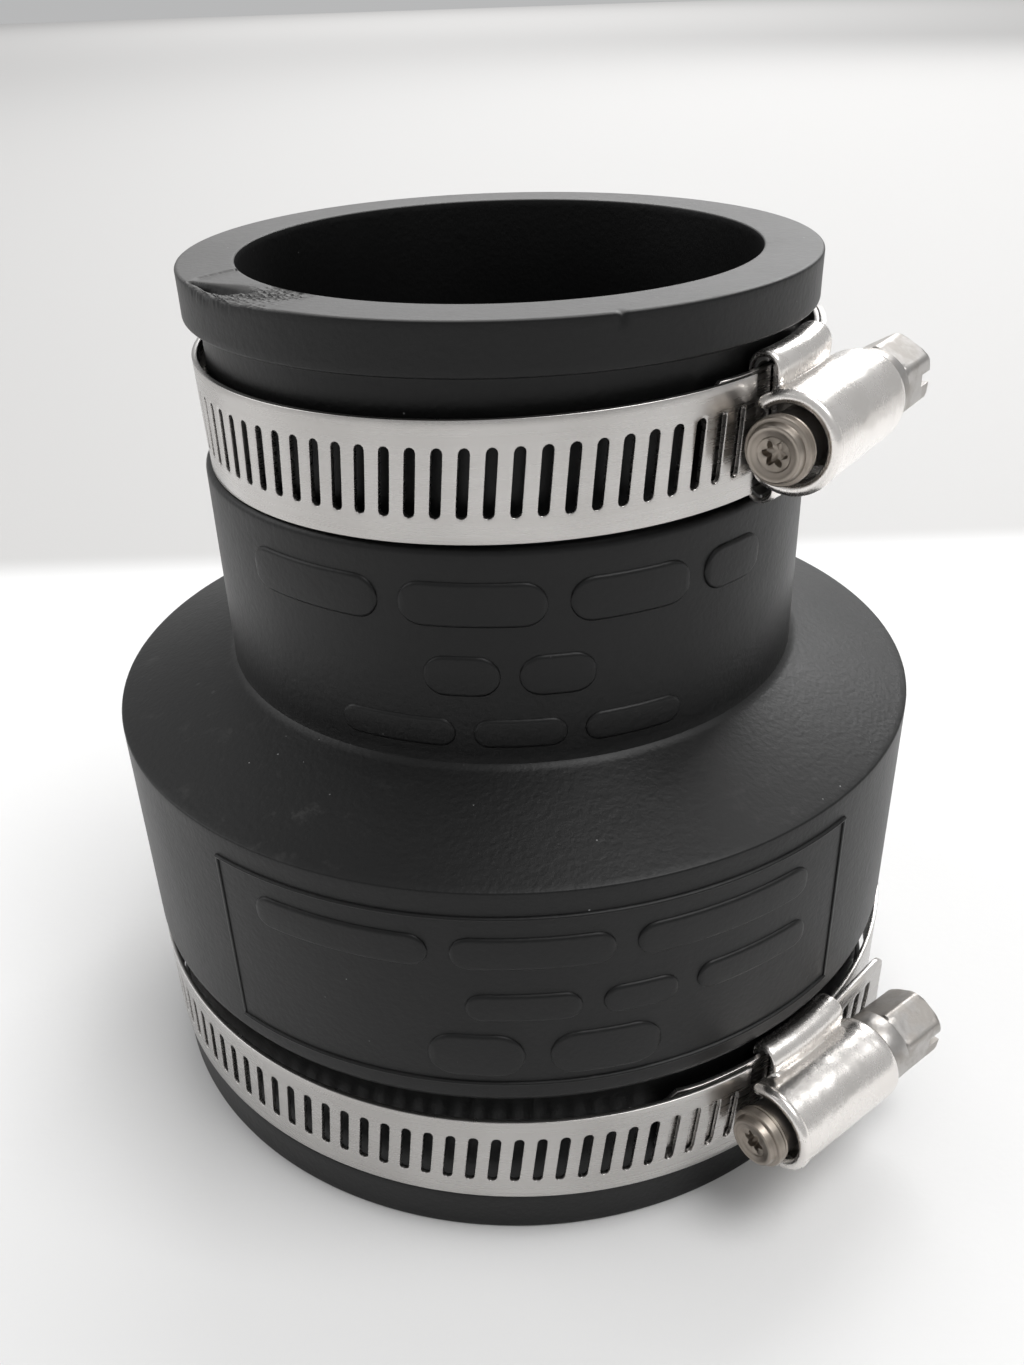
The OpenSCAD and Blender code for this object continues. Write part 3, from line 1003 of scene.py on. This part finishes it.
@dataclass
class Clamp:
    """One worm-drive clamp: strip, free end, housing, saddle and screw.

    A size that ends in _u is measured outward from the strip's outer face, one in _v across the
    strip from its middle. Places along the screw count from the housing's middle, and the rings
    of its tip and flange are pairs of radius and place.
    """

    side: Side
    tail: TailShape
    slots: int
    palette: Palette
    width: float = 12.7
    thickness: float = 0.6
    lap: float = 0.76
    pitch: float = 2.67
    slot_length: float = 7.25
    slot_width: float = 1.17
    slot_field: float = 4.6
    lean: float = 6.7
    tail_start: float = -1.16
    inner_end: float = -20.0
    corner: float = 1.9
    spring: float = 0.6
    spring_length: float = 5.5
    housing_tilt: float = 2.0
    housing_out: float = 1.005
    sheet: float = 0.62
    plate_u: float = 1.25
    wing_u: float = -0.5
    wing_v: float = 6.15
    wing_r: float = 1.75
    hook_v: float = 5.3
    wing_half: float = 6.5
    wing_gap: float = 0.35
    barrel_r: float = 5.05
    barrel_tip: float = -8.9
    barrel_head: float = 8.4
    dent: float = 0.1
    lip_r: float = 4.78
    lip_thick: float = 0.74
    saddle_r: float = 1.175
    saddle_half: float = 6.3
    saddle_sheet: float = 0.42
    screw_u: float = 3.5
    core_r: float = 3.1
    thread_r: float = 3.98
    thread_from: float = -5.6
    thread_to: float = 7.3
    hex_af: float = 7.94
    screw_end: float = 18.46
    driver_across: float = 1.3
    driver_deep: float = 2.2
    tip_rings: tuple[Place, ...] = (
        (1.75, -12.2), (1.85, -12.38), (2.3, -12.44), (2.4, -12.5), (2.78, -12.5),
        (2.92, -12.4), (3.1, -11.75), (3.12, -11.62), (3.45, -11.6), (3.58, -11.48),
        (3.6, -11.3), (3.6, -10.6), (3.5, -10.45), (3.42, -10.4), (3.42, -10.25),
        (3.5, -10.2), (3.5, -10.05), (3.3, -9.95), (3.18, -9.8), (3.15, -7.0),
    )
    flange_rings: tuple[Place, ...] = (
        (3.15, 8.4), (3.2, 8.8), (4.3, 8.82), (4.46, 8.95), (4.5, 9.1), (4.5, 11.2),
        (4.4, 11.5), (4.2, 11.62),
    )
    place: Matrix = field(init=False)
    strip_r: float = field(init=False)
    middle: float = field(init=False)

    def __post_init__(self) -> None:
        """Reads the clamp's frame from its joints."""
        joints = {j["name"]: j for j in frame["record"]["behaviour"]["joints"]}
        screw = joints[f"{self.side.value}_screw_turn"]
        feed = joints[f"{self.side.value}_tail_feed"]
        up = Vector(feed["axis"]).normalized()
        along = -Vector(screw["axis"]).normalized()
        out = along.cross(up)
        centre = Vector(feed["pos_m"])
        self.place = Matrix.Translation(centre) @ Matrix((out, along, up)).transposed().to_4x4()
        reach = (Vector(screw["pos_m"]) - centre).dot(out) / MM
        self.strip_r = reach - self.screw_u
        self.middle = (reach + self.housing_out) * math.tan(math.radians(self.housing_tilt))

    def name(self, part: str) -> str:
        """The full name of one of this clamp's pieces."""
        return f"{self.side.value}_{part}"

    def settle(
        self, thing: bpy.types.Object, node: Optional[str], body: str, finish: Finish
    ) -> bpy.types.Object:
        """Moves a piece into place, ties it to its body, hides the node it stands for and gives it
        its finish.

        Args:
            thing: the piece, built about the strip's outer centre.
            node: the node it stands for, if any.
            body: the body it rides on.
            finish: its finish.

        Returns:
            The piece.
        """
        thing.data.transform(self.place)
        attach(thing, self.name(body))
        if node:
            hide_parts(self.name(node))
        self.palette.dress(thing, finish)
        return thing

    # -- strip --

    def cell(self, sheet: Sheet, s0: float) -> None:
        """Adds one slot's length of strip to a flat sheet.

        Args:
            sheet: the flat strip.
            s0: where the cell starts along the strip.
        """
        p, top = self.pitch, self.slot_field
        rows, cols = 8, 6
        zs = np.linspace(-top, top, rows + 1)
        xs = np.linspace(0, p, cols + 1)
        for low, high in ((top, self.width / 2), (-self.width / 2, -top)):
            sheet.plain(s0 + xs, np.linspace(low, high, 3))
        half = (self.slot_length - self.slot_width) / 2
        r, slope = self.slot_width / 2, math.tan(math.radians(self.lean))
        inner, outer = [], []
        for k in range(rows):
            outer.append((0, zs[k]))
            inner.append((p / 2 - r, -half + 2 * half * k / rows))
        for k in range(cols):
            a = math.pi * (1 - k / cols)
            outer.append((xs[k], top))
            inner.append((p / 2 + r * math.cos(a), half + r * math.sin(a)))
        for k in range(rows):
            outer.append((p, -zs[k]))
            inner.append((p / 2 + r, half - 2 * half * k / rows))
        for k in range(cols):
            a = -math.pi * k / cols
            outer.append((p - xs[k], -top))
            inner.append((p / 2 + r * math.cos(a), -half + r * math.sin(a)))
        inner = [(x + z * slope, z) for x, z in inner]
        rings = []
        for t in (0.0, 0.55, 1.0):
            rings.append([
                (s0 + o[0] + (i[0] - o[0]) * t, o[1] + (i[1] - o[1]) * t)
                for o, i in zip(outer, inner)
            ])
        sheet.ring(rings)

    def lay(self, sheet: Sheet, path: Callable[[float], Place], name: str) -> bpy.types.Object:
        """Bends a flat sheet along a path and gives it its thickness.

        Args:
            sheet: the flat strip.
            path: gives the point of the strip's outer face at a length along it.
            name: the piece's name.

        Returns:
            The strip, in the clamp's own frame.
        """
        flat = sheet.places
        bent = np.array([(*path(s), v) for s, v in flat])
        mesh = bpy.data.meshes.new(name)
        mesh.from_pydata((bent * MM).tolist(), [], sheet.faces)
        lay_map(mesh, np.array(flat))
        made = bmesh.new()
        made.from_mesh(mesh)
        bmesh.ops.remove_doubles(made, verts=made.verts, dist=0.003 * MM)
        bmesh.ops.recalc_face_normals(made, faces=made.faces)
        made.faces.ensure_lookup_table()
        middle = made.faces[len(made.faces) // 2]
        centre = middle.calc_center_median()
        if middle.normal.dot(Vector((centre.x, centre.y, 0))) < 0:
            bmesh.ops.reverse_faces(made, faces=made.faces)
        made.to_mesh(mesh)
        made.free()
        thing = link(name, mesh)
        thicken(thing, self.thickness, -1)
        soften(thing, 0.085, 50)
        shade(thing, 40)
        return thing

    @property
    def inner_start(self) -> float:
        """Length along the outer face, from the screw back to the strip's inner end."""
        inner = self.strip_r - self.lap / 2
        return -math.pi * self.strip_r - math.radians(180 - self.inner_end) * inner

    def loop_path(self, s: float) -> Place:
        """The outer face of the fixed strip, as a spiral of two arcs.

        Args:
            s: length along the outer face; the outer layer passes the screw at s = 0.

        Returns:
            The point, in the plane of the loop.
        """
        if s >= -math.pi * self.strip_r:
            a, r, cx = s / self.strip_r, self.strip_r, 0.0
        else:
            cx = -self.lap / 2
            r = self.strip_r + cx
            a = math.pi + (s + math.pi * self.strip_r) / r
            near = max(1 - (s - self.inner_start) / self.spring_length, 0)
            r -= self.spring * near**2
        return cx + r * math.cos(a), r * math.sin(a)

    def tail_path(self, s: float) -> Place:
        """The outer face of the free end.

        Args:
            s: length along the outer face from the screw.

        Returns:
            The point, in the plane of the loop.
        """
        end = math.radians(self.tail.arc_turn)
        a = min(s / self.strip_r, end)
        rest = max(s - end * self.strip_r, 0.0)
        aim = end + math.pi / 2 - math.radians(self.tail.flare)
        x = self.strip_r * math.cos(a) + rest * math.cos(aim)
        return x, self.strip_r * math.sin(a) + rest * math.sin(aim)

    def build_band(self) -> bpy.types.Object:
        """Builds the fixed length of strip, with one corner clipped at its inner end.

        Returns:
            The strip.
        """
        start, first = self.inner_start, -self.pitch * (self.slots + 1)
        sheet = Sheet()
        half = self.width / 2
        heights = Sheet.rows(self.width, self.slot_field)
        near = start + self.corner * np.linspace(0, 1, 5)[:-1]
        plain = np.linspace(start + self.corner, first, int((first - start) / 1.5))
        sheet.plain(np.concatenate([near, plain]), heights)
        for k in range(self.slots, 2, -1):
            self.cell(sheet, -self.pitch * (k + 1))
        sheet.plain([self.pitch * (t - 3) for t in (0, 0.25, 0.5)], heights)
        sheet.trim(lambda s: (-half, half - max(self.corner - (s - start), 0.0)), half)
        strip = self.lay(sheet, self.loop_path, self.name("strip"))
        return self.settle(strip, "band", "clamp", Finish.STRIP)

    def build_tail(self) -> bpy.types.Object:
        """Builds the free end that the screw feeds.

        Returns:
            The free end.
        """
        length = math.radians(self.tail.arc_turn) * self.strip_r + self.tail.straight
        sheet = Sheet()
        heights = Sheet.rows(self.width, self.slot_field)
        sheet.plain([self.pitch * t for t in np.linspace(self.tail_start, -1, 3)], heights)
        count = int((length - self.tail.plain) / self.pitch)
        for k in range(-1, count):
            self.cell(sheet, self.pitch * k)
        done = self.pitch * count
        sheet.plain(length - (length - done) * (1 - np.linspace(0, 1, 9)) ** 2, heights)
        half = self.tail.half
        sheet.trim(lambda s: (-half(length - s), half(length - s)), self.width / 2)
        strip = self.lay(sheet, self.tail_path, self.name("strip_end"))
        return self.settle(strip, "tail", "tail", Finish.STRIP)

    # -- housing and saddle --

    def around(self, u: float, v: float, y: float) -> Point:
        """A point u outside the strip's face, y along its curve and v across it."""
        a = y / self.strip_r
        return (self.strip_r + u) * math.cos(a), (self.strip_r + u) * math.sin(a), v

    def on_screw(self, r: float, turn: float, y: float) -> Point:
        """A point at radius r from the screw's axis, turned in radians from straight out."""
        return self.strip_r + self.screw_u + r * math.cos(turn), y, r * math.sin(turn)

    def crease(self, y: float, u: float) -> float:
        """How far round the barrel goes each way before it meets the height u, in radians."""
        sag = self.strip_r * (1 - math.cos((y + self.middle) / self.strip_r))
        return math.acos((u - self.screw_u - sag) / self.barrel_r)

    def barrel_row(self, y: float, u: float, dents: np.ndarray) -> list[Point]:
        """One row of points round the barrel.

        Args:
            y: place along the screw.
            u: height at which the row ends on each side.
            dents: each dent's place along, its place round and its depth, from -1 to 1.

        Returns:
            The points.
        """
        r = self.barrel_r - 0.22 * max(y - self.barrel_head + 1, 0) ** 2
        end = self.crease(y, u)
        row = []
        for turn in np.linspace(-end, end, 33):
            dip = 0.0
            for a, b, depth in dents:
                far = ((y - 5 * a) / 1.6) ** 2 + ((turn - 1.2 * b) / 0.28) ** 2
                dip += self.dent * depth * math.exp(-far)
            row.append(self.on_screw(r + min(dip, self.dent / 2), turn, y + self.middle))
        return row

    def wing_row(self, y: float, side: int) -> list[Point]:
        """One row of points from the barrel out over the strip's edge and under it.

        Args:
            y: place along the screw.
            side: 1 above the screw and -1 below it.

        Returns:
            The points.
        """
        plate, under = self.plate_u, 2 * self.wing_u - self.plate_u
        end = self.crease(y, plate)
        join = self.barrel_r * math.sin(end)
        section = [(plate, (join + self.wing_v) / 2), (plate, self.wing_v)]
        section += arc(self.wing_u, self.wing_v, self.wing_r, 0, 180, 10)[1:-1]
        section += [(under, self.wing_v), (under, self.hook_v)]
        row = [self.on_screw(self.barrel_r, side * end, y + self.middle)]
        return row + [self.around(u, side * v, y + self.middle) for u, v in section]

    def build_housing(self) -> bpy.types.Object:
        """Builds the pressed housing: a barrel, and two wings rolled around the strip's edges.

        Returns:
            The housing.
        """
        skin = Skin()
        half = self.wing_half
        wings = np.linspace(-half, half, 15)
        before = np.linspace(self.barrel_tip, -half - self.wing_gap, 4)
        after = np.linspace(half + self.wing_gap, self.barrel_head, 5)
        rng = np.random.default_rng(71 if self.side is Side.UPPER else 72)
        dents = rng.uniform(-1, 1, (4, 3))
        rows = []
        for places, u in ((before, self.sheet), (wings, self.plate_u), (after, self.sheet)):
            rows += [self.barrel_row(y, u, dents) for y in places]
        skin.grid(np.array(rows))
        for side in (-1, 1):
            skin.grid(np.array([self.wing_row(y, side) for y in wings]))
        thing = skin.piece(self.name("housing_shell"), 60, 0.01)
        thicken(thing, self.sheet, 0)
        modifier(thing, "SUBSURF", levels=2, render_levels=2)
        return self.settle(thing, "housing", "clamp", Finish.HOUSING)

    def build_lip(self) -> bpy.types.Object:
        """Builds the thick rolled lip at the tip end of the barrel.

        Returns:
            The lip.
        """
        skin = Skin()
        rows = []
        end = self.crease(self.barrel_tip, 0.55)
        y0 = self.barrel_tip + 0.3 + self.middle
        for t in np.linspace(-1, 1, 61):
            swell = (1 - max((abs(t) - 0.93) / 0.07, 0) ** 2) ** 0.5 if abs(t) < 1 else 0.12
            thick = self.lip_thick * max(swell, 0.12)
            rows.append([
                self.on_screw(self.lip_r + thick * math.cos(a), t * end, y0 + thick * math.sin(a))
                for a in np.linspace(0, 2 * math.pi, 17)[:-1]
            ])
        skin.grid(np.array(rows), loop_v=True)
        skin.cap(16, len(rows))
        return self.settle(
            skin.piece(self.name("housing_lip"), 60), None, "clamp", Finish.HOUSING
        )

    def build_saddle(self) -> bpy.types.Object:
        """Builds the plate between the strip and the hooked wings.

        Returns:
            The plate.
        """
        section = arc(self.wing_u, self.wing_v, self.saddle_r, 70, 180, 7)
        across = np.linspace(self.wing_v, -self.wing_v, 11)[1:-1]
        flat = [(self.wing_u - self.saddle_r, v) for v in across]
        section += flat + [(u, -v) for u, v in section[::-1]]
        places = np.linspace(-self.saddle_half, self.saddle_half, 15)
        skin = Skin()
        skin.grid(np.array([
            [self.around(u, v, y + self.middle) for u, v in section] for y in places
        ]))
        thing = skin.piece(self.name("saddle_plate"), 60)
        thicken(thing, self.saddle_sheet, 0)
        soften(thing, 0.08)
        return self.settle(thing, "saddle", "clamp", Finish.SADDLE)

    # -- screw --

    def thread(self, turn: np.ndarray, y: float) -> np.ndarray:
        """Radius of the rolled thread.

        Args:
            turn: angles round the screw from its strip side, in radians.
            y: place along the screw.

        Returns:
            The radius at each angle.
        """
        away = np.abs((y / self.pitch - turn / (2 * math.pi)) % 1 - 0.5) * self.pitch
        rise = np.clip((0.58 - away) / 0.4, 0, 1)
        rise = rise * rise * (3 - 2 * rise)
        past = min(y - self.middle - self.thread_from, self.thread_to - (y - self.middle))
        return self.core_r + (self.thread_r - self.core_r) * rise * np.clip(past / 0.7, 0, 1)

    def hexagon(self, turn: np.ndarray) -> np.ndarray:
        """Radius of the hexagon, its corners a little rounded."""
        flat = self.hex_af / 2 / np.cos((turn + math.pi / 6) % (math.pi / 3) - math.pi / 6)
        return np.minimum(flat, self.hex_af / 2 / math.cos(math.pi / 6) - 0.09)

    def screw_rows(self, turn: np.ndarray) -> list[tuple[np.ndarray, float]]:
        """The screw's section at each place along it, from the recess in its tip to its head.

        Args:
            turn: angles round the screw, in radians.

        Returns:
            The radius at each angle, and the place along the screw.
        """
        lobes = 1.12 + 0.26 * np.cos(6 * turn)
        rows = [(lobes * 0.9, -11.2), (lobes, -11.45), (lobes, -12.05), (lobes * 1.06, -12.15)]
        rows = [(np.full_like(turn, 0.02), -11.1)] + rows
        rows += [(np.full_like(turn, r), y) for r, y in self.tip_rings]
        rows += [(self.thread(turn, y + self.middle), y) for y in np.arange(-6.2, 7.9, 0.11)]
        rows += [(np.full_like(turn, r), y) for r, y in self.flange_rings]
        top, half = self.screw_end, self.hex_af / 2
        hexagon = self.hexagon(turn)
        rows += [(np.minimum(hexagon, 4.15), 11.64), (hexagon, 11.9)]
        for y in (13.0, 14.5, 16.0, 17.3, 17.6, 17.9, 18.2, 18.4, top):
            rows.append((np.minimum(hexagon, half + 0.12 + (top - y) * 1.1), y))
        rows.append((np.minimum(hexagon, 3.9), top))
        return rows + [(np.full_like(turn, r), top) for r in (2.0, 0.02)]

    def build_screw(self) -> bpy.types.Object:
        """Builds the screw: recessed tip, thread, flange and slotted hexagon head.

        Returns:
            The screw.
        """
        turn = np.linspace(0, 2 * math.pi, 97)[:-1]
        axis = self.strip_r + self.screw_u
        points = []
        for r, y in self.screw_rows(turn):
            along = np.full_like(turn, y + self.middle)
            points.append(np.stack([axis - r * np.cos(turn), along, r * np.sin(turn)], -1))
        skin = Skin()
        skin.grid(np.array(points), loop_v=True)
        skin.cap(len(turn), len(points))
        thing = skin.piece(self.name("worm_screw"), 32)
        spots = np.array([v.co for v in thing.data.vertices]) / MM
        out = np.hypot(spots[:, 0] - axis, spots[:, 2])
        lay_map(thing.data, np.stack([spots[:, 1] - self.middle, out], -1))
        self.cut_driver_slot(thing)
        return self.settle(thing, "screw", "screw", Finish.SCREW)

    def cut_driver_slot(self, screw: bpy.types.Object) -> None:
        """Cuts the driver slot across the end of the head and rounds the screw's edges.

        Args:
            screw: the screw, in the clamp's own frame.
        """
        made = bmesh.new()
        bmesh.ops.create_cube(made, size=1.0)
        size = Vector((4 * self.hex_af, 2 * self.driver_deep, self.driver_across)) * MM
        bmesh.ops.scale(made, vec=size, verts=made.verts)
        at = Vector((self.strip_r + self.screw_u, self.screw_end + self.middle, 0)) * MM
        bmesh.ops.translate(made, vec=at, verts=made.verts)
        mesh = bpy.data.meshes.new("driver_slot_cutter")
        made.to_mesh(mesh)
        made.free()
        cutter = link("driver_slot_cutter", mesh)
        modifier(screw, "BOOLEAN", object=cutter, operation="DIFFERENCE", solver="EXACT")
        soften(screw, 0.07, math.degrees(0.9))
        bpy.context.view_layer.update()
        ready = screw.evaluated_get(bpy.context.evaluated_depsgraph_get())
        cut = bpy.data.meshes.new_from_object(ready)
        screw.modifiers.clear()
        screw.data = cut
        bpy.data.objects.remove(cutter)
        shade(screw, 32)

    def build(self) -> list[bpy.types.Object]:
        """Builds and dresses all of the clamp.

        Returns:
            Its pieces.
        """
        return [
            self.build_band(),
            self.build_tail(),
            self.build_saddle(),
            self.build_housing(),
            self.build_lip(),
            self.build_screw(),
        ]


# ---- studio -------------------------------------------------------------------------


@dataclass(frozen=True)
class Paper:
    """The pale floor's finish, a little greyer far behind the object."""

    near: float = 0.8
    far: float = 0.53
    edge_at: float = 0.146

    def material(self) -> bpy.types.Material:
        """Builds the material.

        Returns:
            The material.
        """
        g = Graph("pale_floor")
        at = g.place()
        back = g.axes(at)[1].step(self.edge_at - 0.006, self.edge_at + 0.012)
        cloud = g.noise(at, 9, 3)
        near = g.mix(cloud, grey(self.near * 0.97, 0.004), grey(self.near, 0.004))
        g.set(Base_Color=g.mix(back, near, grey(self.far, 0.012)), Roughness=0.62)
        g.bump(g.noise(at, 900, 3), 0.00002)
        return g.material


@dataclass(frozen=True)
class Lamp:
    """One soft square light, by default aimed at the object's middle; metres and watts."""

    name: str
    at: Point
    size: float
    power: float
    aim: Point = (0.0, 0.0, 0.05)

    def build(self) -> None:
        """Adds the light."""
        data = bpy.data.lights.new(self.name, "AREA")
        data.shape, data.size, data.energy = "SQUARE", self.size, self.power
        lamp = link(self.name, data)
        lamp.location = self.at
        aim = Vector(self.aim) - Vector(self.at)
        lamp.rotation_euler = aim.to_track_quat("-Z", "Y").to_euler()


@dataclass(frozen=True)
class Viewpoint:
    """The camera: its place in metres, its turns in radians, and its lens."""

    at: Point = (0.0, -0.14749, 0.13316)
    pan: float = -0.0013
    pitch: float = 0.527
    roll: float = -0.0335
    lens: float = 32.18

    def build(self) -> None:
        """Adds the camera and makes it the scene's."""
        cp, sp = math.cos(self.pan), math.sin(self.pan)
        ct, st = math.cos(self.pitch), math.sin(self.pitch)
        cr, sr = math.cos(self.roll), math.sin(self.roll)
        level = Vector((cp, -sp, 0))
        rise = Vector((st * sp, st * cp, ct))
        ahead = Vector((ct * sp, ct * cp, -st))
        right, up = cr * level + sr * rise, cr * rise - sr * level
        data = bpy.data.cameras.new("camera")
        data.sensor_width, data.lens, data.clip_start = 36, self.lens, 0.005
        camera = link("camera", data)
        turned = Matrix((right, up, -ahead)).transposed().to_4x4()
        camera.matrix_world = Matrix.Translation(self.at) @ turned
        bpy.context.scene.camera = camera


@dataclass(frozen=True)
class Studio:
    """The floor, the lights and the sky's soft fill."""

    floor_half: float = 6.0
    sky: float = 0.48
    lamps: tuple[Lamp, ...] = (
        Lamp("window_light", (-1.7, 0.3, 1.1), 1.3, 10.0),
        Lamp("back_light", (0.9, 1.7, 1.3), 0.9, 18.0),
        Lamp("ceiling_light", (0.75, -0.3, 1.9), 1.0, 22.0),
        Lamp("far_light", (0.0, 4.5, 2.6), 2.6, 90.0, aim=(0.0, 3.8, 0.0)),
    )

    def build(self) -> None:
        """Adds them to the scene."""
        skin = Skin()
        steps = np.linspace(-1, 1, 9) * self.floor_half / MM
        skin.grid(np.array([[(x, y, 0.0) for y in steps] for x in steps]))
        floor = skin.piece("floor")
        floor.data.materials.append(Paper().material())
        for lamp in self.lamps:
            lamp.build()
        world = bpy.data.worlds.new("studio")
        world.use_nodes = True
        sky = world.node_tree.nodes["Background"].inputs["Color"]
        sky.default_value = grey(self.sky, -0.004)
        bpy.context.scene.world = world
        bpy.context.scene.view_settings.view_transform = "Standard"


def main() -> None:
    """Builds the coupling, the studio and the camera."""
    logging.basicConfig(level=logging.INFO, format="%(message)s")
    Viewpoint().build()
    Studio().build()
    palette = Palette()
    clipped = TailShape(
        arc_turn=38, straight=0, flare=0, plain=0.3, tip=((0, 4.1), (2.25, 6.35))
    )
    rounded = TailShape(
        arc_turn=12, straight=10.2, flare=4, plain=2.0,
        tip=((0, 4.55), (0.15, 5.27), (0.45, 5.75), (0.9, 6.1), (1.8, 6.35)),
    )
    for assembly in (
        Sleeve(palette),
        Clamp(Side.UPPER, clipped, 37, palette),
        Clamp(Side.LOWER, rounded, 42, palette),
    ):
        for piece in assembly.build():
            log.info("%s: %d faces", piece.name, len(piece.data.polygons))
    log.info("sizes written")


if __name__ == "__main__":
    main()
